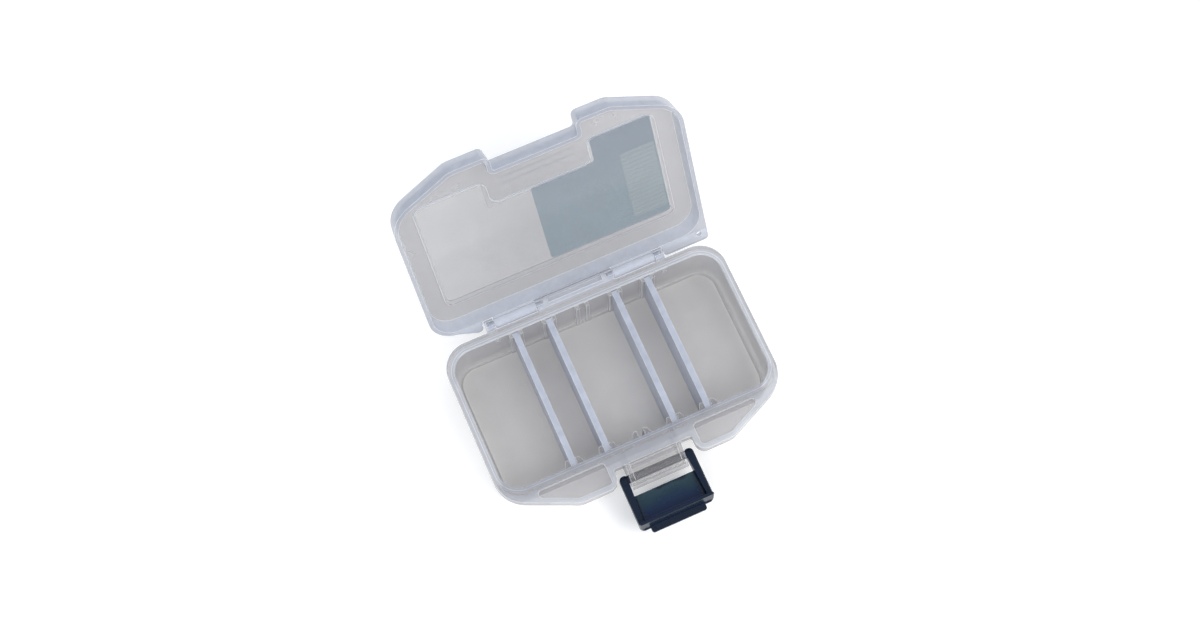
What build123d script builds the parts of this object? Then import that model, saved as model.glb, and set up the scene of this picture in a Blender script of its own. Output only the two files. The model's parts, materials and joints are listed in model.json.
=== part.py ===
from build123d import *
from math import acos, atan2, cos, radians, sin, tan
import os

# Pocket lure box: a clear tray with five compartments, a hinged clear lid and a
# snap latch. Millimetres. X runs along the hinge, +Y points to the hinge, +Z is up,
# and the origin is the middle of the tray's underside.

# Tray cavity and walls
tray_length = 97.0
tray_height = 18.8
cavity_depth = 47.7
cavity_corner = 7.0
wall = 1.3
wall_draft = 0.4
floor_thickness = 1.4
floor_chamfer = 0.9
base_chamfer = 1.0

# Tray rim and its two front wings
rim_side_width = 2.3
rim_back_width = 3.05
notch_reach = 6.4
wing_reach = 12.0
rim_height = 4.0
rim_plate = 1.8
skirt_wall = 1.3
notch_half_width = 13.5
notch_place = 0.7
wing_chamfer_run = 22.4
wing_chamfer_angle = 24.5
back_corner = 9.0
side_corner = 11.0
wing_corner = 6.0
notch_tip_corner = 3.2
notch_root_corner = 0.8
rim_edge = 0.3

# Sunken panels on the wings
panel_border = 1.7
panel_sink = 0.8
panel_corner = 1.2

# Divider slots and dividers
slot_pitch = 11.55
slot_clearance = 0.1
rib_width = 1.2
rib_back_depth = 1.4
rib_front_depth = 2.2
rib_flare = 1.0
rib_drop = 0.6
divider_thickness = 2.0
divider_drop = 1.2
divider_end_clearance = 0.25
divider_foot_clearance = 0.05

# Detent nubs on the inside of the back wall
nub_place = 29.2
nub_radius = 0.9
nub_drop = 2.0
nub_proud = 0.6

# Hinge
hinge_setback = 2.2
hinge_drop = 0.6
knuckle_radius = 1.9
knuckle_clearance = 0.35
block_half_length = 13.4
shoulder_reach = 2.7
stop_gap = 0.25
bar_radius = 1.8
bar_gap = 0.3
bar_length = 14.1
pin_radius = 0.9
pin_clearance = 0.06
pin_length = 2.0
pin_end_gap = 0.25
pin_mouth = 1.5
end_knuckle_length = 3.0
pocket_length = 18.8
pocket_width = 2.2
pocket_depth = 2.5
pocket_setback = 0.1

# Lid
lid_gap = 0.1
lid_side_inset = 0.9
lid_back_setback = 0.9
lid_notch_inset = 0.2
lid_notch_flare = 0.4
lid_notch_tip_corner = 2.4
lid_height = 6.7
lid_wall = 1.4
lid_plate = 1.3
lid_taper_angle = 5.0
lid_edge_chamfer = 0.8
lid_open_angle = 117.0

# Sunken field on the lid, its grip ribs and its label
field_back = 8.8
field_front = 13.45
field_side = 8.3
field_notch_half = 17.4
field_notch_reach = 9.5
field_corner = 2.5
field_sink = 0.5
field_rim = 0.6
grip_rib_width = 0.9
grip_rib_height = 0.5
grip_rib_pitch = 2.5
grip_rib_place = 10.2
grip_rib_half_length = 12.8
label_thickness = 0.15
label_margin = 0.5
label_left = -3.0
label_corner = 1.2

# Hinge flange of the lid and its lanyard eyelet
flange_thickness = 1.4
flange_back = 2.7
flange_slope_angle = 24.0
flange_corner = 1.5
eyelet_radius = 1.0
eyelet_side = 3.0
eyelet_back = 3.3

# Latch cradle on the tray
pivot_front = 9.65
pivot_drop = 7.5
rod_radius = 1.3
rod_clearance = 0.06
cradle_radius = 3.8
cradle_half_length = 9.5
cradle_mouth = 2.2
cradle_mouth_angle = 40.0
cradle_skin = 1.2
cradle_skin_drop = 2.4
cradle_cheek = 1.5
cradle_cheek_drop = 0.6

# Latch
arm_gap = 0.25
arm_width = 2.95
arm_tip_radius = 1.6
arm_swell = 0.8
arm_inner_round = 1.1
latch_front = 1.9
latch_plate = 1.7
window_length = 5.65
recess_flare = 1.2
hook_gap = 0.15
hook_reach = 4.9
hook_height = 2.3
hook_tip_height = 0.9
latch_corner = 1.6
recess_round = 1.2
tab_length = 1.7
tab_inset = 3.3
tab_thickness = 1.6
latch_edge = 0.4
latch_open_angle = 95.0

# One overrun serves every cut that leaves through a face
overrun = 1.0

# Places that follow from the sizes above
half_length = tray_length / 2
half_depth = cavity_depth / 2
cavity_length = tray_length - 2 * rim_side_width
rim_back = half_depth + rim_back_width
notch_front = half_depth + notch_reach
wing_front = half_depth + wing_reach
wing_flat_end = half_length - wing_chamfer_run
rim_bottom = tray_height - rim_height
hinge_back = rim_back + hinge_setback
hinge_height = tray_height - hinge_drop
lid_base = tray_height + lid_gap
lid_top = lid_base + lid_height
lid_half_length = half_length - lid_side_inset
lid_back = hinge_back - lid_back_setback
pivot_y = -half_depth - pivot_front
pivot_height = tray_height - pivot_drop
arm_inner = cradle_half_length + arm_gap
arm_outer = arm_inner + arm_width
slot_width = divider_thickness + 2 * slot_clearance
slot_numbers = (-2, -1, 0, 1, 2)
divider_slots = (-2, -1, 1, 2)


def rim_points(side, back, front, notch, notch_half):
    """Corners of the outline with two chamfered front wings and a notch between them."""
    chamfer_end = -front + (side - wing_flat_end) * tan(radians(wing_chamfer_angle))
    right = [(side, back), (side, chamfer_end), (wing_flat_end, -front)]
    notch_corners = [
        (notch_place + notch_half, -front),
        (notch_place + notch_half, -notch),
        (notch_place - notch_half, -notch),
        (notch_place - notch_half, -front),
    ]
    left = [(-x, y) for x, y in reversed(right)]
    return right + notch_corners + left


def rim_radii(notch_tip):
    """Radii of the outline's corners, in the order of its points."""
    radii = [back_corner, side_corner, wing_corner, notch_tip, notch_root_corner]
    return radii + radii[::-1]


def swung(plane, axis_y, axis_height, angle):
    """A plane of the closed box, turned about a hinge axis along X."""
    axis = Location((0, axis_y, axis_height))
    return Plane(axis * Rotation(angle, 0, 0) * axis.inverse() * plane.location)


def on_lid(plane):
    """A plane of the closed lid, as it stands when the lid is open."""
    return swung(plane, hinge_back, hinge_height, -lid_open_angle)


def on_latch(plane):
    """A plane of the closed latch, as it stands when the latch is open."""
    return swung(plane, pivot_y, pivot_height, latch_open_angle)


def wing_panel_points(sign):
    """Corners of one sunken wing panel, on the side that sign gives."""
    inner = notch_half_width + sign * notch_place + panel_border
    front = wing_front - panel_border
    outer = half_length - rim_side_width - back_corner
    outer_front = front - (outer - wing_flat_end) * tan(radians(wing_chamfer_angle))
    points = [
        (inner, -rim_back),
        (outer, -rim_back),
        (outer, -outer_front),
        (wing_flat_end, -front),
        (inner, -front),
    ]
    return [(sign * x, y) for x, y in points]


def field_points(grow):
    """Corners of the lid's sunken field, which steps back behind the latch, grown all round."""
    side = lid_half_length - field_side + grow
    back = lid_back - field_back + grow
    front = -wing_front + field_front - grow
    step = -wing_front + field_front + field_notch_reach - grow
    notch_right = notch_place + field_notch_half - grow
    notch_left = notch_place - field_notch_half + grow
    right = [(side, back), (side, front), (notch_right, front), (notch_right, step)]
    left = [(notch_left, step), (notch_left, front), (-side, front), (-side, back)]
    return right + left


def cradle_web_points(drop, thickness):
    """A sloping web from the notch's skirt, drop below the rim, to a tangent on the barrel."""
    start = Vector(-notch_front, tray_height - drop)
    reach = start - Vector(pivot_y, pivot_height)
    slope = acos(cradle_radius / reach.length) - atan2(reach.X, reach.Y)
    normal = Vector(-sin(slope), cos(slope))
    end = Vector(pivot_y, pivot_height) + normal * cradle_radius
    sink = normal * thickness
    return [(point.X, point.Y) for point in (start, end, end - sink, start - sink)]


def hollow_points(foot, top, flare):
    """Corners of the hollow between the latch's arms, seen from the front."""
    return [
        (notch_place - arm_inner, foot),
        (notch_place + arm_inner, foot),
        (notch_place + arm_inner + flare, top),
        (notch_place - arm_inner - flare, top),
    ]


os.makedirs("parts", exist_ok=True)

# Tray: tub, rim, wings, slot ribs, hinge block and latch cradle in one moulding
with BuildPart() as tray:
    tub_length = cavity_length + 2 * wall
    tub_depth = cavity_depth + 2 * wall
    tub_corner = cavity_corner + wall
    with BuildSketch(Plane.XY):
        RectangleRounded(tub_length - 2 * wall_draft, tub_depth - 2 * wall_draft, tub_corner - wall_draft)
    with BuildSketch(Plane.XY.offset(tray_height)):
        RectangleRounded(tub_length, tub_depth, tub_corner)
    loft(ruled=True)
    chamfer(tray.faces().sort_by(Axis.Z)[0].edges(), length=base_chamfer)

    rim_outline = rim_points(half_length, rim_back, wing_front, notch_front, notch_half_width)
    with BuildSketch(Plane.XY.offset(rim_bottom)) as rim_sketch:
        with BuildLine():
            FilletPolyline(*rim_outline, radius=rim_radii(notch_tip_corner), close=True)
        make_face()
    extrude(amount=rim_height)

    # The wings are hollow from below: a top plate with a skirt around it
    with BuildSketch(Plane.XY.offset(rim_bottom)) as wing_hollow:
        add(rim_sketch.sketch_local)
        offset(amount=-skirt_wall, mode=Mode.REPLACE)
        with Locations((0, rim_back)):
            Rectangle(tray_length, 2 * rim_back, mode=Mode.SUBTRACT)
        RectangleRounded(tub_length, tub_depth, tub_corner, mode=Mode.SUBTRACT)
    extrude(amount=rim_height - rim_plate, mode=Mode.SUBTRACT)

    foot_length = cavity_length - 2 * wall_draft
    foot_depth = cavity_depth - 2 * wall_draft
    with BuildSketch(Plane.XY.offset(floor_thickness)):
        RectangleRounded(foot_length, foot_depth, cavity_corner - wall_draft)
    with BuildSketch(Plane.XY.offset(tray_height)):
        RectangleRounded(cavity_length, cavity_depth, cavity_corner)
    loft(ruled=True, mode=Mode.SUBTRACT)
    cavity_floor = tray.faces().filter_by_position(Axis.Z, floor_thickness, floor_thickness)[0]
    chamfer(cavity_floor.edges(), length=floor_chamfer)
    rim_top = tray.faces().sort_by(Axis.Z)[-1]
    chamfer(rim_top.inner_wires()[0].edges(), length=rim_edge)

    with BuildSketch(Plane.XY.offset(tray_height - panel_sink)):
        for side in (-1, 1):
            with BuildLine():
                FilletPolyline(*wing_panel_points(side), radius=panel_corner, close=True)
            make_face()
    extrude(amount=panel_sink + overrun, mode=Mode.SUBTRACT)

    # Each slot is a pair of ribs on the back wall and a flared pair on the front wall
    with BuildSketch(Plane.XY.offset(floor_thickness)):
        for number in slot_numbers:
            for side in (-1, 1):
                inner = number * slot_pitch + side * slot_width / 2
                outer = inner + side * rib_width
                root = half_depth + wall / 2
                with Locations(((inner + outer) / 2, (root + half_depth - rib_back_depth) / 2)):
                    Rectangle(rib_width, root - half_depth + rib_back_depth)
                tip = half_depth - rib_front_depth
                flare = outer + side * rib_flare
                with BuildLine():
                    Polyline(
                        (inner, -root),
                        (inner, -tip),
                        (outer, -tip),
                        (flare, -half_depth),
                        (flare, -root),
                        close=True,
                    )
                make_face()
    extrude(amount=tray_height - rib_drop - floor_thickness)

    with BuildSketch(Plane.XZ.offset(-half_depth)):
        with Locations(*[(side * nub_place, tray_height - nub_drop) for side in (-1, 1)]):
            Circle(nub_radius)
    extrude(amount=nub_proud)

    # Hinge block in the middle, with the sloping shoulder that the open lid's back wall
    # leans on, and an end knuckle at each side
    knuckle_start = block_half_length + bar_gap + bar_length + bar_gap
    shoulder_offset = lid_back_setback - stop_gap
    shoulder_normal = (-cos(radians(lid_open_angle)), sin(radians(lid_open_angle)))
    shoulder_top = shoulder_offset / shoulder_normal[1]
    shoulder_end = (shoulder_offset - shoulder_reach * shoulder_normal[0]) / shoulder_normal[1]
    with BuildSketch(Plane.YZ) as block_profile:
        with Locations((hinge_back, hinge_height)):
            Circle(knuckle_radius)
        with Locations((rim_back - rim_edge, rim_bottom)):
            Rectangle(hinge_back - rim_back + rim_edge, rim_height, align=(Align.MIN, Align.MIN))
        with BuildLine():
            Polyline(
                (hinge_back, rim_bottom),
                (hinge_back + shoulder_reach, rim_bottom),
                (hinge_back + shoulder_reach, hinge_height + shoulder_end),
                (hinge_back, hinge_height + shoulder_top),
                close=True,
            )
        make_face()
    extrude(amount=block_half_length, both=True)
    for side in (-1, 1):
        with BuildSketch(Plane.YZ.offset(side * knuckle_start)):
            with Locations((hinge_back, hinge_height)):
                Circle(knuckle_radius)
            with Locations((rim_back - rim_edge, rim_bottom)):
                Rectangle(
                    hinge_back - rim_back + rim_edge,
                    hinge_height - rim_bottom,
                    align=(Align.MIN, Align.MIN),
                )
        extrude(amount=side * end_knuckle_length)

    # The block is hollow from above
    with BuildSketch(Plane.XY.offset(hinge_height + knuckle_radius)):
        with Locations((0, hinge_back + pocket_setback)):
            Rectangle(pocket_length, pocket_width)
    extrude(amount=-pocket_depth, mode=Mode.SUBTRACT)

    # Pin sockets, each with a mouth on top that the pin snaps through
    socket_depth = pin_length + bar_gap + pin_end_gap
    for side in (-1, 1):
        for start, step in ((block_half_length, -1), (knuckle_start, 1)):
            with BuildSketch(Plane.YZ.offset(side * (start - step * bar_gap))):
                with Locations((hinge_back, hinge_height)):
                    Circle(pin_radius + pin_clearance)
                with Locations((hinge_back, hinge_height + knuckle_radius)):
                    Rectangle(pin_mouth, 2 * knuckle_radius)
            extrude(amount=side * step * (socket_depth + pin_end_gap), mode=Mode.SUBTRACT)

    # Latch cradle: a barrel with a snap mouth, hung from the notch's skirt by a sloping
    # skin and held to the tub by a cheek at each end
    cradle_middle = Plane.YZ.offset(notch_place)
    with BuildSketch(cradle_middle):
        with Locations((pivot_y, pivot_height)):
            Circle(cradle_radius)
        with BuildLine():
            Polyline(*cradle_web_points(cradle_skin_drop, cradle_skin), close=True)
        make_face()
    extrude(amount=cradle_half_length, both=True)
    cheek_top, cheek_end = cradle_web_points(cradle_cheek_drop, cradle_skin)[:2]
    cheek_root = -half_depth - wall / 2
    for side in (-1, 1):
        with BuildSketch(cradle_middle.offset(side * (cradle_half_length - cradle_cheek / 2))):
            with BuildLine():
                Polyline(
                    (cheek_root, cheek_top[1]),
                    cheek_top,
                    cheek_end,
                    (pivot_y, pivot_height),
                    (pivot_y, pivot_height - cradle_radius),
                    (cheek_root, pivot_height - cradle_radius),
                    close=True,
                )
            make_face()
        extrude(amount=cradle_cheek / 2, both=True)
    with BuildSketch(cradle_middle):
        with Locations((pivot_y, pivot_height)):
            Circle(rod_radius + rod_clearance)
        with Locations(Location((pivot_y, pivot_height), cradle_mouth_angle)):
            Rectangle(2 * cradle_radius, cradle_mouth, align=(Align.MAX, Align.CENTER))
    extrude(amount=cradle_half_length + overrun, both=True, mode=Mode.SUBTRACT)

tray.part.label = "tray"
export_step(tray.part, "parts/tray.step")

# Lid: a shallow pan with the tray's outline, hinge bars, a flange and a sunken field.
# Its sketches are drawn as on the closed box and stand on the planes of the open lid.
with BuildPart() as lid:
    lid_level = Plane.XY.offset(lid_base)
    lid_notch = notch_front - lid_notch_inset
    lid_notch_half = notch_half_width + lid_notch_flare
    lid_outline = rim_points(lid_half_length, lid_back, wing_front, lid_notch, lid_notch_half)
    with BuildSketch(on_lid(lid_level)) as lid_sketch:
        with BuildLine():
            FilletPolyline(*lid_outline, radius=rim_radii(lid_notch_tip_corner), close=True)
        make_face()
    extrude(amount=lid_height, taper=lid_taper_angle)
    lid_up = on_lid(lid_level).z_dir
    top_face = lid.faces().sort_by(lambda face: face.center().dot(lid_up))[-1]
    chamfer(top_face.edges(), length=lid_edge_chamfer)

    # The flange reaches past the hinge at both back corners; the right one is square
    flange_inner = block_half_length + bar_gap + bar_length + 3 * bar_gap + end_knuckle_length
    flange_edge = hinge_back + flange_back
    flange_drop = (lid_half_length - flange_inner) * tan(radians(flange_slope_angle))
    flange_root = flange_edge - flange_drop - back_corner
    with BuildSketch(on_lid(lid_level)):
        with BuildLine():
            FilletPolyline(
                (flange_inner, flange_root),
                (flange_inner, flange_edge),
                (lid_half_length, flange_edge),
                (lid_half_length, flange_root),
                radius=[0, flange_corner, flange_corner, 0],
                close=True,
            )
        make_face()
        with BuildLine():
            FilletPolyline(
                (-flange_inner, flange_root),
                (-flange_inner, flange_edge),
                (-lid_half_length, flange_edge - flange_drop),
                (-lid_half_length, flange_root),
                radius=[0, flange_corner, back_corner, 0],
                close=True,
            )
        make_face()
    extrude(amount=flange_thickness)

    # Hinge bars with a pin at each end
    bar_start = block_half_length + bar_gap
    for side in (-1, 1):
        with BuildSketch(on_lid(Plane.YZ.offset(side * bar_start))):
            with Locations((hinge_back, hinge_height)):
                Circle(bar_radius)
        extrude(amount=side * bar_length)

    with BuildSketch(on_lid(lid_level)):
        add(lid_sketch.sketch_local)
        offset(amount=-lid_wall, mode=Mode.REPLACE)
    extrude(amount=lid_height - lid_plate, taper=lid_taper_angle, mode=Mode.SUBTRACT)

    # Room for the middle block and the end knuckles, all along the swing
    for start, length in (
        (-bar_start, 2 * bar_start),
        (bar_start + bar_length, end_knuckle_length + 2 * bar_gap),
        (-bar_start - bar_length, -end_knuckle_length - 2 * bar_gap),
    ):
        with BuildSketch(on_lid(Plane.YZ.offset(start))):
            with Locations((hinge_back, hinge_height)):
                Circle(knuckle_radius + knuckle_clearance)
        extrude(amount=length, mode=Mode.SUBTRACT)
    for side in (-1, 1):
        with BuildSketch(on_lid(Plane.YZ.offset(side * (bar_start - pin_length)))):
            with Locations((hinge_back, hinge_height)):
                Circle(pin_radius)
        extrude(amount=side * (bar_length + 2 * pin_length))

    with BuildSketch(on_lid(lid_level)):
        with Locations((lid_half_length - eyelet_side, flange_edge - eyelet_back)):
            Circle(eyelet_radius)
    extrude(amount=flange_thickness, mode=Mode.SUBTRACT)

    # The sunken field: a pocket outside and a pad of the same shape inside the pan
    field_outline = field_points(0)
    with BuildSketch(on_lid(Plane.XY.offset(lid_top - lid_plate - field_sink))):
        with BuildLine():
            FilletPolyline(*field_points(field_rim), radius=field_corner + field_rim, close=True)
        make_face()
    extrude(amount=field_sink + lid_plate / 2)
    with BuildSketch(on_lid(Plane.XY.offset(lid_top - field_sink))):
        with BuildLine():
            FilletPolyline(*field_outline, radius=field_corner, close=True)
        make_face()
    extrude(amount=field_sink + overrun, mode=Mode.SUBTRACT)

    # Two grip ribs near the front edge, outside
    with BuildSketch(on_lid(Plane.XY.offset(lid_top - grip_rib_height))):
        for number in range(2):
            with Locations((notch_place, -notch_front + grip_rib_place + number * grip_rib_pitch)):
                SlotOverall(2 * grip_rib_half_length, grip_rib_width)
    extrude(amount=2 * grip_rib_height)

lid.part.label = "lid"
export_step(lid.part, "parts/lid.step")

# Label: a thin L-shaped sticker in the sunken field, outside the lid
with BuildPart() as label:
    label_right = lid_half_length - field_side - label_margin
    label_back = lid_back - field_back - label_margin
    label_front = -wing_front + field_front + label_margin
    label_step = label_front + field_notch_reach
    label_notch = notch_place + field_notch_half + label_margin
    with BuildSketch(on_lid(Plane.XY.offset(lid_top - field_sink))):
        with BuildLine():
            FilletPolyline(
                (label_left, label_back),
                (label_right, label_back),
                (label_right, label_front),
                (label_notch, label_front),
                (label_notch, label_step),
                (label_left, label_step),
                radius=label_corner,
                close=True,
            )
        make_face()
    extrude(amount=label_thickness)

label.part.label = "label"
export_step(label.part, "parts/label.step")

# Latch: two arms on a rod, a plate that fills the lid's notch, a wedge hook and a finger tab
with BuildPart() as latch:
    latch_face = pivot_y - latch_front
    plate_back = latch_face + latch_plate
    hook_underside = lid_top + hook_gap
    hook_top = hook_underside + hook_height
    hook_tip = pivot_y + hook_reach
    tab_top = hook_top + tab_length
    window_top = pivot_height + window_length
    hollow_foot = pivot_height - 2 * arm_tip_radius
    flare_share = (window_top - hollow_foot) / (hook_underside - hollow_foot)
    with BuildSketch(on_latch(Plane.YZ.offset(notch_place))):
        with Locations((pivot_y, pivot_height)):
            Circle(arm_tip_radius)
        with BuildLine():
            Polyline(
                (pivot_y - arm_tip_radius, pivot_height),
                (latch_face, window_top),
                (latch_face, hook_top),
                (hook_tip, hook_underside + hook_tip_height),
                (hook_tip, hook_underside),
                (pivot_y + arm_tip_radius + arm_swell, hook_underside),
                (pivot_y + arm_tip_radius, pivot_height),
                close=True,
            )
        make_face()
        with Locations((latch_face, hook_underside)):
            Rectangle(tab_thickness, tab_top - hook_underside, align=(Align.MIN, Align.MIN))
    extrude(amount=arm_outer, both=True)
    side_faces = latch.faces().filter_by(Plane.YZ).sort_by(Axis.X)
    chamfer(side_faces[0].edges() + side_faces[-1].edges(), length=latch_edge)

    # Seen from the front: rounded shoulders, the narrower tab, and the window between two
    # round-tipped arms, which leaves the rod free
    with BuildSketch(on_latch(Plane.XZ)) as latch_front_view:
        with Locations((notch_place, (pivot_height - arm_tip_radius + hook_top) / 2)):
            RectangleRounded(2 * arm_outer, hook_top - pivot_height + arm_tip_radius, latch_corner)
        with Locations((notch_place, (hook_underside + tab_top) / 2)):
            RectangleRounded(2 * (arm_outer - tab_inset), tab_top - hook_underside, latch_corner / 2)
        with BuildLine():
            Polyline(*hollow_points(hollow_foot, window_top, recess_flare * flare_share), close=True)
        make_face(mode=Mode.SUBTRACT)
        arm_feet = latch_front_view.vertices().group_by(Axis.Y)[0]
        fillet(arm_feet.sort_by(lambda foot: abs(foot.X - notch_place))[:2], radius=arm_inner_round)
    extrude(amount=2 * half_length, mode=Mode.INTERSECT)

    # The dished hollow behind the plate
    plate_plane = on_latch(Plane.XZ.offset(-plate_back))
    with BuildSketch(plate_plane):
        with BuildLine():
            Polyline(*hollow_points(hollow_foot, hook_underside, recess_flare), close=True)
        make_face()
    extrude(amount=-hook_reach - latch_front, mode=Mode.SUBTRACT)
    hollow_floor = latch.faces().filter_by(plate_plane).sort_by(
        lambda face: abs(plate_plane.to_local_coords(face.center()).Z)
    )[0]
    hollow_edges = hollow_floor.edges().sort_by(
        lambda edge: plate_plane.to_local_coords(edge.center()).Y
    )
    fillet(hollow_edges[1:], radius=recess_round)

    with BuildSketch(on_latch(Plane.YZ.offset(notch_place))):
        with Locations((pivot_y, pivot_height)):
            Circle(rod_radius)
    extrude(amount=arm_inner + arm_width / 2, both=True)

latch.part.label = "latch"
export_step(latch.part, "parts/latch.step")

# Dividers: four plates that drop into the slots, cut to the cavity's drafted section
for index, number in enumerate(divider_slots):
    divider_half = half_depth - divider_end_clearance
    divider_foot = floor_thickness + divider_foot_clearance
    divider_top = tray_height - divider_drop
    with BuildPart() as divider:
        with BuildSketch(Plane.YZ.offset(number * slot_pitch)) as divider_sketch:
            with BuildLine():
                Polyline(
                    (divider_half, divider_top),
                    (divider_half - wall_draft, divider_foot),
                    (wall_draft - divider_half, divider_foot),
                    (-divider_half, divider_top),
                    close=True,
                )
            make_face()
            chamfer(divider_sketch.vertices().group_by(Axis.Y)[0], length=floor_chamfer)
        extrude(amount=divider_thickness / 2, both=True)

    divider.part.label = f"divider_{index + 1}"
    export_step(divider.part, f"parts/divider_{index + 1}.step")
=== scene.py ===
import json
from math import cos, pi, radians, sin

import bpy
from mathutils import Matrix, Vector


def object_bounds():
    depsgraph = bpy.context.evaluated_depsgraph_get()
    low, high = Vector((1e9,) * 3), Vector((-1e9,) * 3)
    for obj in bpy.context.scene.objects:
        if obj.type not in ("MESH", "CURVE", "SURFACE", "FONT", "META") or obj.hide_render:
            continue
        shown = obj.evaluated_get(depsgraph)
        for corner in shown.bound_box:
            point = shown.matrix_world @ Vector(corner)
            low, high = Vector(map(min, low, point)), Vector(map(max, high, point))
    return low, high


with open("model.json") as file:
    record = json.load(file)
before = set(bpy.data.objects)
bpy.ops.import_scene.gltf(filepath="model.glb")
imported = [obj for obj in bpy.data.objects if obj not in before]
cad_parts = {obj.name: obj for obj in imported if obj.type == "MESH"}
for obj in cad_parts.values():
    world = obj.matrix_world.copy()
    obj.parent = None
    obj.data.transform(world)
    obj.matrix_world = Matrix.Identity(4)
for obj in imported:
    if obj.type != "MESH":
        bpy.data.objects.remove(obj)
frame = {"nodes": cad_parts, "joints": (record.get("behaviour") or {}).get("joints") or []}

# The dressed lure box: clear moulded plastic, a navy latch and a film label on the packed
# solids, on a white floor in soft studio light. Metres and degrees, in the frame's axes.
# A colour is three numbers. Of two places, a mask begins at the first and is full at the
# second; where a border goes with them, it is full between them.

CAD_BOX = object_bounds()
LID_HINGE, LATCH_HINGE = frame["joints"]
MM = 0.001
X, Y, Z, ORIGIN = (1, 0, 0), (0, 1, 0), (0, 0, 1), (0, 0, 0)

# Camera, fitted to the photograph's straight edges
TARGET = Vector((6.24, 23.30, 0.0)) * MM
DISTANCE = 585.3 * MM
AZIMUTH = -22.22
ELEVATION = 72.27
ROLL = -1.8
FOCAL_PIXELS = 1766.0
FRAME_WIDTH = 1200
SENSOR = 36.0
CLIP_START = 0.01

# Studio: the world's light, the floor, and the lamps with place, size, power and colour
WORLD_COLOUR, WORLD_STRENGTH = (0.93, 0.96, 1.0), 0.60
WHITE = (1, 1, 1)
FLOOR_HALF = 3.0
FLOOR_SHADE, FLOOR_ROUGH, FLOOR_GLOW = (0.60, 0.58, 0.55), 0.9, 0.12
LAMPS = {
    "key": ((0.45, -0.50, 0.90), (0.7, 0.7), 6.0, (1.0, 0.98, 0.96)),
    "fill": ((-0.6, -0.4, 0.8), (0.7, 0.7), 2.5, (0.92, 0.96, 1.0)),
    "back": ((0.10, 0.50, 0.62), (0.5, 0.06), 0.7, (0.93, 0.96, 1.0)),
    "window": ((0.1, -0.9, 0.35), (0.8, 0.15), 2.5, (0.97, 0.98, 1.0)),
}

# Clear plastic: its index, then how dense its milky veil is and of what colour, where it is satin,
# polished, thick, at an edge where a pale highlight line is painted, seen edge on or in shade
PLASTIC_IOR = 1.49
SATIN_ROUGH, POLISHED_ROUGH, ROUGH_WOBBLE = 0.30, 0.10, 0.1
SATIN_VEIL, FIELD_VEIL, FLOOR_VEIL = 0.45, 0.34, 0.20
THICK_VEIL, EDGE_HIGHLIGHT_VEIL, GRAZING_VEIL = 0.50, 0.80, 0.40
MOST_THICK = 1.5
BODY_COLOURS = (
    (0.00, (0.325, 0.32, 0.335)),
    (0.67, (0.47, 0.51, 0.61)),
    (1.00, (0.68, 0.73, 0.86)),
)
# Edges are painted this pale colour as a highlight line
EDGE_HIGHLIGHT_COLOUR = (0.90, 0.93, 0.98)
SHADE_COLOUR, SHADE_VEIL = (0.16, 0.15, 0.14), 0.45
VEIL_WOBBLE, GRAZING_BLEND = 0.06, 0.35
FLOW_SPAN, FLOW_LEAST = 0.3, 0.85
SHADOW_TINT = (0.70, 0.69, 0.68)

# Edges: the reach, samples and sharpness of the edge mask
EDGE_ROUND = 0.25 * MM
EDGE_SAMPLES = 6
EDGE_FLAT, EDGE_SHARP = 0.99, 0.85

# Mix node: the places of its two colours among its inputs, and of their mix
MIX_COLOURS, MIX_RESULT = (6, 7), 2

# Noise: its scale and detail, for mottles, flow, clouds, fibres and the bumps
NOISE_MEAN = 0.5
MOTTLE, FLOW, CLOUD, FIBRE = (120.0, 4.0), (260.0, 2.0), (220.0, 2.0), (700.0, 5.0)
PLASTIC_BUMP, NAVY_BUMP, FILM_BUMP = (220.0, 1.0), (1400.0, 1.0), (500.0, 1.0)
PLASTIC_BUMP_HEIGHT, NAVY_BUMP_HEIGHT, FILM_BUMP_HEIGHT = 0.012 * MM, 0.008 * MM, 0.01 * MM

# Tray: half sizes and corner of the hollow's mouth, and how milky the rim and its wings are at distances
# from it, as shares of RIM_SPAN; across the rim this paints highlight lines with fainter bands between
# them
MOUTH_HALF = (46.2 * MM, 23.85 * MM)
MOUTH_CORNER = 7.0 * MM
RIM_SPAN = 2.3 * MM
# Highlight lines painted across the rim, with fainter bands between them
RIM_HIGHLIGHT_BANDS = (
    (0.00, 1.00),
    (0.10, 0.60),
    (0.40, 0.56),
    (0.46, 1.00),
    (0.52, 0.50),
    (0.80, 0.42),
    (0.90, 0.22),
    (1.00, 0.30),
)
HIGHLIGHT_BAND_LIFT, WING_THICK = 0.4, 0.4
WING_SHARES = (1.0, 1.3)

# Tray: the heights of the rim's top, of the floor and of the floor's shaded edge with its
# soft border, and the polished reach around the latch's rod
RIM_TOP = (18.3 * MM, 18.6 * MM)
FLOOR_TOP = (2.2 * MM, 1.6 * MM)
FLOOR_EDGE = (1.55 * MM, 2.1 * MM, 0.1 * MM)
BARREL, BARREL_POLISH = (4.4 * MM, 4.0 * MM), 0.9

# Dividers, hinge and lid: the reaches over which the plastic turns thick, and how much
DIVIDER_HEIGHTS, DIVIDER_THICK = (-40.0 * MM, 17.5 * MM), 1.2
HINGE_REACH = (2.4 * MM, 2.1 * MM)
LID_EDGE, LID_EDGE_THICK = (1.1 * MM, 0.8 * MM), 0.5
WALL_LEAN, WALL_THICK = (0.6, 0.4), 1.05

# Lid: the sunken field's sides and reaches, its notch, and the softness of their borders
FIELD_ACROSS, FIELD_REACH = 39.0 * MM, (10.0 * MM, 51.2 * MM)
FIELD_NOTCH, FIELD_NOTCH_REACH = 17.3 * MM, (41.6 * MM, 42.2 * MM)
FIELD_BORDER = 0.4 * MM
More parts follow.
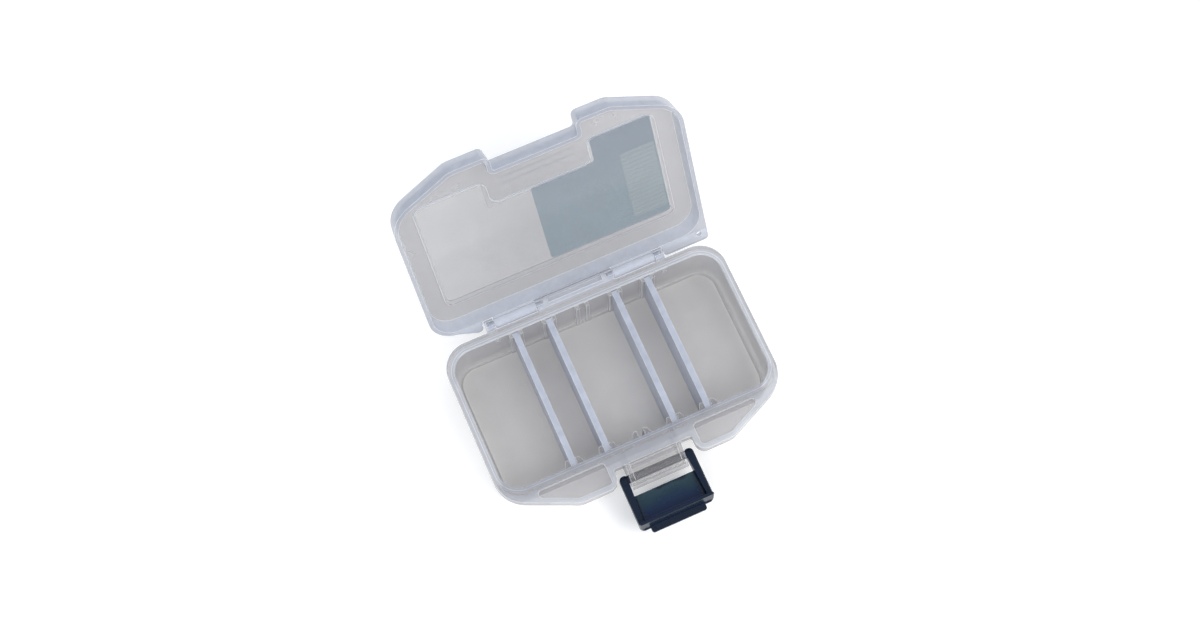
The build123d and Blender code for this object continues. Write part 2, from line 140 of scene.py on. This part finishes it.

# Latch: its colours, with a sheen and shade painted from the window's edge to the hook, the plate's
# place and size, and how glossy and mottled it is and how strong the highlight painted on its edges is
LATCH_REACH = 14.5 * MM
LATCH_MIDDLE = 0.7 * MM
PLATE_HALF, PLATE_BORDER = 9.2 * MM, 1.0 * MM
PLATE_END = (1.02, 0.98)
NAVY_SPECULAR, NAVY_DRIFT, NAVY_HIGHLIGHT = 0.18, 0.25, 0.6
NAVY_ROUGH, NAVY_ROUGH_SPAN = 0.18, 0.16
# The second colour is a highlight painted along the latch's edges; the plate's colours are a painted
# sheen and shade, teal near the window's edge and darkening to deep blue towards the hook
NAVY, NAVY_EDGE_HIGHLIGHT = (0.003, 0.010, 0.026), (0.020, 0.042, 0.085)
PLATE_SHEEN_COLOURS = (
    (0.38, (0.004, 0.012, 0.026)),
    (0.46, (0.020, 0.046, 0.062)),
    (0.62, (0.010, 0.030, 0.052)),
    (0.80, (0.004, 0.018, 0.058)),
    (1.00, (0.003, 0.014, 0.066)),
)

# Label: the tones of the film's back near the hinge and at the front (painted brighter than its face, to
# make up for the light that the lid takes from it), of its face and of the printed block, then the
# block's place, the pitch of its rows and the film's specks
LIT_FILM_BACK, LIT_FILM_FRONT = (0.36, 0.61, 0.73), (0.27, 0.47, 0.64)
LIT_FILM_BLOCK = (0.66, 0.86, 0.88)
FILM_FACE, FACE_BLOCK = (0.36, 0.43, 0.47), (0.50, 0.56, 0.58)
FILM_DEEPENS = (22.0 * MM, 52.0 * MM)
BLOCK_ACROSS, BLOCK_REACH = (27.0 * MM, 38.0 * MM), (13.0 * MM, 40.0 * MM)
BLOCK_BORDER = 0.5 * MM
FILM_ROW, ROW_DEPTH, ROW_MEAN = 1.7 * MM, 0.2, 0.6
SPECK_RANGE, SPECK_AMOUNT = (0.45, 0.8), 0.25
FACE_LEAN = (0.0, 0.5)
FILM_ROUGH = 0.5

# Gaps that keep faces which touch from lying in one plane
FLOOR_GAP = 0.1 * MM
LABEL_GAP = 0.02 * MM


def make_camera():
    """The camera at the photograph's viewing angle."""
    azimuth, elevation, roll = radians(AZIMUTH), radians(ELEVATION), radians(ROLL)
    back = Vector((sin(azimuth) * cos(elevation), -cos(azimuth) * cos(elevation), sin(elevation)))
    across = Vector((0, 0, 1)).cross(back).normalized()
    upward = back.cross(across)
    right = across * cos(roll) + upward * sin(roll)
    top = upward * cos(roll) - across * sin(roll)
    turn = Matrix((right, top, back)).transposed().to_4x4()
    data = bpy.data.cameras.new("camera")
    data.sensor_width = SENSOR
    data.lens = SENSOR * FOCAL_PIXELS / FRAME_WIDTH
    data.clip_start = CLIP_START
    camera = bpy.data.objects.new("camera", data)
    camera.matrix_world = Matrix.Translation(TARGET + back * DISTANCE) @ turn
    bpy.context.scene.collection.objects.link(camera)
    bpy.context.scene.camera = camera


def add_lamp(name, place, size, power, colour):
    """A soft rectangular lamp that points at the origin."""
    data = bpy.data.lights.new(name, "AREA")
    data.shape = "RECTANGLE"
    data.size, data.size_y = size
    data.energy = power
    data.color = colour
    lamp = bpy.data.objects.new(name, data)
    lamp.location = place
    lamp.rotation_mode = "QUATERNION"
    lamp.rotation_quaternion = (-Vector(place)).to_track_quat("-Z", "Y")
    bpy.context.scene.collection.objects.link(lamp)


def make_world():
    """Even light, and a white background for what is seen."""
    world = bpy.data.worlds.new("studio")
    world.use_nodes = True
    nodes, links = world.node_tree.nodes, world.node_tree.links
    nodes.clear()
    output = nodes.new("ShaderNodeOutputWorld")
    light = nodes.new("ShaderNodeBackground")
    light.inputs["Color"].default_value = (*WORLD_COLOUR, 1)
    light.inputs["Strength"].default_value = WORLD_STRENGTH
    seen = nodes.new("ShaderNodeBackground")
    seen.inputs["Color"].default_value = (*WHITE, 1)
    seen.inputs["Strength"].default_value = 1.0
    mix = nodes.new("ShaderNodeMixShader")
    links.new(seen_rays(nodes, links), mix.inputs["Fac"])
    links.new(light.outputs[0], mix.inputs[1])
    links.new(seen.outputs[0], mix.inputs[2])
    links.new(mix.outputs[0], output.inputs["Surface"])
    bpy.context.scene.world = world


def seen_rays(nodes, links):
    """1 for rays that show the background: from the camera, or by gloss or glass."""
    path = nodes.new("ShaderNodeLightPath")
    seen = calc(nodes, links, "MAXIMUM", path.outputs["Is Camera Ray"], path.outputs["Is Glossy Ray"])
    return calc(nodes, links, "MAXIMUM", seen, path.outputs["Is Transmission Ray"])


def make_floor():
    """A plain floor just below the box."""
    mesh = bpy.data.meshes.new("floor")
    level = CAD_BOX[0][2] - FLOOR_GAP
    corners = [(x * FLOOR_HALF, y * FLOOR_HALF, level) for x, y in ((-1, -1), (1, -1), (1, 1), (-1, 1))]
    mesh.from_pydata(corners, [], [(0, 1, 2, 3)])
    floor = bpy.data.objects.new("floor", mesh)
    bpy.context.scene.collection.objects.link(floor)
    floor.data.materials.append(floor_material())


def floor_material():
    """White where it is seen, and grey to the light that it throws back at the box."""
    material, nodes, links, shader = new_material("floor")
    shader.inputs["Roughness"].default_value = FLOOR_ROUGH
    seen = seen_rays(nodes, links)
    links.new(blend(nodes, links, seen, FLOOR_SHADE, WHITE), shader.inputs["Base Color"])
    shader.inputs["Emission Color"].default_value = (*WHITE, 1)
    links.new(calc(nodes, links, "MULTIPLY", seen, FLOOR_GLOW), shader.inputs["Emission Strength"])
    return material


def new_material(name):
    """A material with its nodes, its links and its Principled shader."""
    material = bpy.data.materials.new(name)
    material.use_nodes = True
    nodes, links = material.node_tree.nodes, material.node_tree.links
    return material, nodes, links, nodes["Principled BSDF"]


def noise(nodes, links, position, grain):
    """Noise at a position; grain is its scale and detail."""
    node = nodes.new("ShaderNodeTexNoise")
    node.inputs["Scale"].default_value, node.inputs["Detail"].default_value = grain
    links.new(position, node.inputs["Vector"])
    return node.outputs["Fac"]


def step(nodes, links, value, low, high):
    """A socket that climbs from 0 to 1 as value goes from low to high."""
    node = nodes.new("ShaderNodeMapRange")
    node.interpolation_type = "SMOOTHSTEP"
    node.inputs["From Min"].default_value = low
    node.inputs["From Max"].default_value = high
    links.new(value, node.inputs["Value"])
    return node.outputs["Result"]


def calc(nodes, links, operation, first, second):
    """A Math node's output; first and second are sockets or numbers."""
    node = nodes.new("ShaderNodeMath")
    node.operation = operation
    for socket, value in zip(node.inputs, (first, second)):
        if isinstance(value, (int, float)):
            socket.default_value = value
        else:
            links.new(value, socket)
    return node.outputs[0]


def along(nodes, links, position, direction, start):
    """The distance of a position socket along a direction, from a start point."""
    node = nodes.new("ShaderNodeVectorMath")
    node.operation = "DOT_PRODUCT"
    node.inputs[1].default_value = direction
    links.new(position, node.inputs[0])
    return calc(nodes, links, "SUBTRACT", node.outputs["Value"], Vector(direction).dot(Vector(start)))


def inside(nodes, links, value, low, high, edge):
    """A socket that is 1 between low and high and falls to 0 within edge outside them."""
    rise = step(nodes, links, value, low - edge, low)
    fall = step(nodes, links, value, high + edge, high)
    return calc(nodes, links, "MULTIPLY", rise, fall)


def clear_plastic(name, thick_mask, polish_mask=None, polished_veil=SATIN_VEIL, shade_mask=None):
    """Clear moulded plastic, with masks for where it is thick, polished or in shade, and a highlight
    painted along its edges.
    """
    material, nodes, links, shader = new_material(name)
    position = nodes.new("ShaderNodeTexCoord").outputs["Object"]
    shader.inputs["IOR"].default_value = PLASTIC_IOR
    centred = calc(nodes, links, "SUBTRACT", noise(nodes, links, position, MOTTLE), NOISE_MEAN)
    polish = polish_mask(nodes, links, position) if polish_mask else 0.0

    def mixed(satin, polished, wobble):
        span = calc(nodes, links, "MULTIPLY", polish, polished - satin)
        base = calc(nodes, links, "ADD", span, satin)
        return calc(nodes, links, "ADD", base, calc(nodes, links, "MULTIPLY", centred, wobble))

    links.new(mixed(SATIN_ROUGH, POLISHED_ROUGH, ROUGH_WOBBLE), shader.inputs["Roughness"])
    fine_bump(nodes, links, position, shader, PLASTIC_BUMP, PLASTIC_BUMP_HEIGHT)
    flow = calc(nodes, links, "MULTIPLY", noise(nodes, links, position, FLOW), FLOW_SPAN)
    flow = calc(nodes, links, "ADD", flow, FLOW_LEAST)
    thick = calc(nodes, links, "MULTIPLY", thick_mask(nodes, links, position), flow)
    # A highlight painted along the edges: a denser veil of a pale colour
    edge = edge_mask(nodes, links)
    masks = [(thick, THICK_VEIL), (edge, EDGE_HIGHLIGHT_VEIL)]
    if shade_mask:
        shade = shade_mask(nodes, links, position)
        masks.append((shade, SHADE_VEIL))

    veil = mixed(SATIN_VEIL, polished_veil, VEIL_WOBBLE)
    for mask, most in masks:
        veil = calc(nodes, links, "MAXIMUM", veil, calc(nodes, links, "MULTIPLY", mask, most))
    weight = nodes.new("ShaderNodeLayerWeight")
    weight.inputs["Blend"].default_value = GRAZING_BLEND
    room = calc(nodes, links, "SUBTRACT", 1.0, veil)
    grazing = calc(nodes, links, "MULTIPLY", weight.outputs["Facing"], GRAZING_VEIL)
    grazing = calc(nodes, links, "MULTIPLY", room, grazing)
    links.new(calc(nodes, links, "ADD", veil, grazing), shader.inputs["Alpha"])

    colour = ramp(nodes, links, calc(nodes, links, "DIVIDE", thick, MOST_THICK), BODY_COLOURS)
    # The painted edge highlight
    colour = blend(nodes, links, edge, colour, EDGE_HIGHLIGHT_COLOUR)
    if shade_mask:
        colour = blend(nodes, links, shade, colour, SHADE_COLOUR)
    links.new(colour, shader.inputs["Base Color"])
    let_lamps_through(nodes, links, shader)
    return material


def fine_bump(nodes, links, position, shader, grain, height):
    """The slight unevenness of a moulded surface."""
    bump = nodes.new("ShaderNodeBump")
    bump.inputs["Distance"].default_value = height
    links.new(noise(nodes, links, position, grain), bump.inputs["Height"])
    links.new(bump.outputs["Normal"], shader.inputs["Normal"])


def ramp(nodes, links, value, stops):
    """A colour that follows value through a list of places from 0 to 1 and colours."""
    node = nodes.new("ShaderNodeValToRGB")
    elements = node.color_ramp.elements
    while len(elements) < len(stops):
        elements.new(1.0)
    for element, (place, colour) in zip(elements, stops):
        element.position = place
        element.color = (*colour, 1)
    links.new(value, node.inputs["Fac"])
    return node.outputs["Color"]


def blend(nodes, links, factor, first, second):
    """A mix of two colours; each is a socket or a tuple."""
    node = nodes.new("ShaderNodeMix")
    node.data_type = "RGBA"
    links.new(factor, node.inputs["Factor"])
    for place, value in zip(MIX_COLOURS, (first, second)):
        socket = node.inputs[place]
        if isinstance(value, tuple):
            socket.default_value = (*value, 1)
        else:
            links.new(value, socket)
    return node.outputs[MIX_RESULT]


def edge_mask(nodes, links):
    """1 along the moulded edges, within EDGE_ROUND of them."""
    bevel = nodes.new("ShaderNodeBevel")
    bevel.samples = EDGE_SAMPLES
    bevel.inputs["Radius"].default_value = EDGE_ROUND
    dot = nodes.new("ShaderNodeVectorMath")
    dot.operation = "DOT_PRODUCT"
    links.new(bevel.outputs["Normal"], dot.inputs[0])
    links.new(nodes.new("ShaderNodeNewGeometry").outputs["Normal"], dot.inputs[1])
    return step(nodes, links, dot.outputs["Value"], EDGE_FLAT, EDGE_SHARP)


def let_lamps_through(nodes, links, shader):
    """Lets most of the lamps' light through the plastic, so that its shadow is pale."""
    tinted = nodes.new("ShaderNodeBsdfTransparent")
    tinted.inputs["Color"].default_value = (*SHADOW_TINT, 1)
    path = nodes.new("ShaderNodeLightPath")
    mix = nodes.new("ShaderNodeMixShader")
    links.new(path.outputs["Is Shadow Ray"], mix.inputs["Fac"])
    links.new(shader.outputs[0], mix.inputs[1])
    links.new(tinted.outputs[0], mix.inputs[2])
    links.new(mix.outputs[0], nodes["Material Output"].inputs["Surface"])


def tray_polish(nodes, links, position):
    """1 on the tray's floor, and a little less on the latch's barrel."""
    floor = step(nodes, links, height_of(nodes, links, position), *FLOOR_TOP)
    reach = axis_distance(nodes, links, position, LATCH_HINGE["pos_m"])
    barrel = calc(nodes, links, "MULTIPLY", step(nodes, links, reach, *BARREL), BARREL_POLISH)
    return calc(nodes, links, "MAXIMUM", floor, barrel)


def height_of(nodes, links, position):
    """The height of a position socket above the tray's underside."""
    return along(nodes, links, position, Z, ORIGIN)


def tray_thick(nodes, links, position):
    """How thick the plastic looks on the rim's top, where highlight lines with fainter bands between
    them are painted, and along the hinge.
    """
    top = step(nodes, links, height_of(nodes, links, position), *RIM_TOP)
    share = calc(nodes, links, "DIVIDE", mouth_distance(nodes, links, position), RIM_SPAN)
    # Highlight lines and fainter bands painted across the rim's top
    highlight_bands = ramp(nodes, links, share, [(place, (tone, tone, tone)) for place, tone in RIM_HIGHLIGHT_BANDS])
    lifted = calc(nodes, links, "ADD", highlight_bands, HIGHLIGHT_BAND_LIFT)
    highlight_bands = calc(nodes, links, "MULTIPLY", highlight_bands, lifted)
    wing = calc(nodes, links, "MULTIPLY", step(nodes, links, share, *WING_SHARES), WING_THICK)
    top = calc(nodes, links, "MULTIPLY", top, calc(nodes, links, "ADD", highlight_bands, wing))
    return calc(nodes, links, "MAXIMUM", top, hinge_thick(nodes, links, position))


def mouth_distance(nodes, links, position):
    """The distance of a position socket outward from the outline of the tray's hollow."""
    beyond = []
    for direction, half in zip((X, Y), MOUTH_HALF):
        place = calc(nodes, links, "ABSOLUTE", along(nodes, links, position, direction, ORIGIN), 0.0)
        beyond.append(calc(nodes, links, "SUBTRACT", place, half - MOUTH_CORNER))
    squares = []
    for value in beyond:
        value = calc(nodes, links, "MAXIMUM", value, 0.0)
        squares.append(calc(nodes, links, "MULTIPLY", value, value))
    corner = calc(nodes, links, "SQRT", calc(nodes, links, "ADD", *squares), 0.0)
    side = calc(nodes, links, "MINIMUM", calc(nodes, links, "MAXIMUM", *beyond), 0.0)
    return calc(nodes, links, "SUBTRACT", calc(nodes, links, "ADD", corner, side), MOUTH_CORNER)


def tray_shade(nodes, links, position):
    """1 along the sloping edge of the tray's floor, which looks dark from above."""
    return inside(nodes, links, height_of(nodes, links, position), *FLOOR_EDGE)


def divider_thick(nodes, links, position):
    """How thick a divider looks: most at its top, and much on its frosted sides."""
    rise = step(nodes, links, height_of(nodes, links, position), *DIVIDER_HEIGHTS)
    return calc(nodes, links, "MULTIPLY", rise, DIVIDER_THICK)


def lid_thick(nodes, links, position):
    """How thick the plastic looks on the lid's walls, on its mouth's edge and at the hinge."""
    outward = lid_outward()
    depth = along(nodes, links, position, outward, LID_HINGE["pos_m"])
    edge = calc(nodes, links, "MULTIPLY", step(nodes, links, depth, *LID_EDGE), LID_EDGE_THICK)
    normal = nodes.new("ShaderNodeTexCoord").outputs["Normal"]
    lean = calc(nodes, links, "ABSOLUTE", along(nodes, links, normal, outward, ORIGIN), 0.0)
    walls = calc(nodes, links, "MULTIPLY", step(nodes, links, lean, *WALL_LEAN), WALL_THICK)
    thick = calc(nodes, links, "MAXIMUM", edge, walls)
    return calc(nodes, links, "MAXIMUM", thick, hinge_thick(nodes, links, position))


def lid_outward():
    """The direction from the open lid's mouth to its outside."""
    opening = radians(LID_HINGE["range_deg"][1])
    return (0, sin(opening), cos(opening))


def hinge_thick(nodes, links, position):
    """1 on the round hinge bars and knuckles."""
    return step(nodes, links, axis_distance(nodes, links, position, LID_HINGE["pos_m"]), *HINGE_REACH)


def axis_distance(nodes, links, position, centre):
    """The distance of a position socket from an axis along X."""
    rise = along(nodes, links, position, Z, centre)
    out = along(nodes, links, position, Y, centre)
    square = calc(nodes, links, "ADD", calc(nodes, links, "MULTIPLY", rise, rise),
                  calc(nodes, links, "MULTIPLY", out, out))
    return calc(nodes, links, "SQRT", square, 0.0)


def lid_polish(nodes, links, position):
    """1 on the lid's sunken field."""
    reach, across = lid_places(nodes, links, position)
    wide = inside(nodes, links, across, -FIELD_ACROSS, FIELD_ACROSS, FIELD_BORDER)
    field = calc(nodes, links, "MULTIPLY", wide, inside(nodes, links, reach, *FIELD_REACH, FIELD_BORDER))
    notch = inside(nodes, links, across, -FIELD_NOTCH, FIELD_NOTCH, FIELD_BORDER)
    notch = calc(nodes, links, "MULTIPLY", notch, step(nodes, links, reach, *FIELD_NOTCH_REACH))
    return calc(nodes, links, "MULTIPLY", field, calc(nodes, links, "SUBTRACT", 1.0, notch))


def navy_plastic():
    """Dark navy moulding, with a teal sheen and shade painted in the plate's hollow and pale highlights
    painted along its edges.
    """
    material, nodes, links, shader = new_material("navy_plastic")
    position = nodes.new("ShaderNodeTexCoord").outputs["Object"]
    closing = radians(LATCH_HINGE["range_deg"][1])
    outward = (0, -sin(closing), cos(closing))
    reach = along(nodes, links, position, outward, LATCH_HINGE["pos_m"])
    share = calc(nodes, links, "DIVIDE", reach, LATCH_REACH)
    cloud = noise(nodes, links, position, CLOUD)
    drift = calc(nodes, links, "SUBTRACT", cloud, NOISE_MEAN)
    drift = calc(nodes, links, "MULTIPLY", drift, NAVY_DRIFT)
    # A sheen and shade painted on the plate: teal near the window's edge, darkening to deep blue towards
    # the hook
    plate = ramp(nodes, links, calc(nodes, links, "ADD", share, drift), PLATE_SHEEN_COLOURS)
    across = along(nodes, links, position, X, (LATCH_MIDDLE, 0, 0))
    on_plate = inside(nodes, links, across, -PLATE_HALF, PLATE_HALF, PLATE_BORDER)
    on_plate = calc(nodes, links, "MULTIPLY", on_plate, step(nodes, links, share, *PLATE_END))
    body = blend(nodes, links, on_plate, NAVY, plate)
    # A pale highlight painted along the edges
    highlit_edge = calc(nodes, links, "MULTIPLY", edge_mask(nodes, links), NAVY_HIGHLIGHT)
    links.new(blend(nodes, links, highlit_edge, body, NAVY_EDGE_HIGHLIGHT), shader.inputs["Base Color"])
    shader.inputs["Specular IOR Level"].default_value = NAVY_SPECULAR
    rough = calc(nodes, links, "MULTIPLY", cloud, NAVY_ROUGH_SPAN)
    links.new(calc(nodes, links, "ADD", rough, NAVY_ROUGH), shader.inputs["Roughness"])
    fine_bump(nodes, links, position, shader, NAVY_BUMP, NAVY_BUMP_HEIGHT)
    return material


def label_film():
    """A printed film: its back blue, seen through the lid and painted brighter to make up for the light
    the lid takes from it, its face grey, with a paler block.
    """
    material, nodes, links, shader = new_material("label_film")
    position = nodes.new("ShaderNodeTexCoord").outputs["Object"]
    reach, across = lid_places(nodes, links, position)
    block = calc(nodes, links, "MULTIPLY", inside(nodes, links, across, *BLOCK_ACROSS, BLOCK_BORDER),
                 inside(nodes, links, reach, *BLOCK_REACH, BLOCK_BORDER))
    rows = calc(nodes, links, "SINE", calc(nodes, links, "MULTIPLY", reach, 2 * pi / FILM_ROW), 0.0)
    rows = calc(nodes, links, "ADD", calc(nodes, links, "MULTIPLY", rows, ROW_DEPTH), ROW_MEAN)
    printed = calc(nodes, links, "MULTIPLY", block, rows)
    fibre = noise(nodes, links, position, FIBRE)
    speck = calc(nodes, links, "MULTIPLY", step(nodes, links, fibre, *SPECK_RANGE), SPECK_AMOUNT)
    deeper = step(nodes, links, reach, *FILM_DEEPENS)
    # The back is painted brighter than the face, to make up for the light the lid takes from it
    back = blend(nodes, links, deeper, LIT_FILM_BACK, LIT_FILM_FRONT)
    back = blend(nodes, links, speck, blend(nodes, links, printed, back, LIT_FILM_BLOCK), LIT_FILM_BLOCK)
    face = blend(nodes, links, printed, FILM_FACE, FACE_BLOCK)
    face = blend(nodes, links, speck, face, FACE_BLOCK)
    normal = nodes.new("ShaderNodeTexCoord").outputs["Normal"]
    outside = step(nodes, links, along(nodes, links, normal, lid_outward(), ORIGIN), *FACE_LEAN)
    links.new(blend(nodes, links, outside, back, face), shader.inputs["Base Color"])
    shader.inputs["Roughness"].default_value = FILM_ROUGH
    fine_bump(nodes, links, position, shader, FILM_BUMP, FILM_BUMP_HEIGHT)
    return material


def lid_places(nodes, links, position):
    """How far a position lies from the hinge along the open lid, and across it."""
    opening = radians(LID_HINGE["range_deg"][1])
    forward = (0, -cos(opening), sin(opening))
    reach = along(nodes, links, position, forward, LID_HINGE["pos_m"])
    return reach, along(nodes, links, position, X, ORIGIN)


def dress(node, material):
    """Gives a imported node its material."""
    mesh = frame["nodes"][node].data
    mesh.materials.clear()
    mesh.materials.append(material)


def thin_label():
    """Draws the label's faces in a little, so that none lies in the lid's plane."""
    gap = frame["nodes"]["label"].modifiers.new("gap", "DISPLACE")
    gap.mid_level = 0.0
    gap.strength = -LABEL_GAP


make_camera()
make_world()
make_floor()
for lamp_name, lamp_values in LAMPS.items():
    add_lamp(lamp_name, *lamp_values)

dress("tray", clear_plastic("tray_plastic", tray_thick, tray_polish, FLOOR_VEIL, tray_shade))
dress("lid", clear_plastic("lid_plastic", lid_thick, lid_polish, FIELD_VEIL))
divider_plastic = clear_plastic("divider_plastic", divider_thick)
for number in (1, 2, 3, 4):
    dress(f"divider_{number}", divider_plastic)
dress("latch", navy_plastic())
dress("label", label_film())
thin_label()

bpy.context.scene.view_settings.view_transform = "Standard"
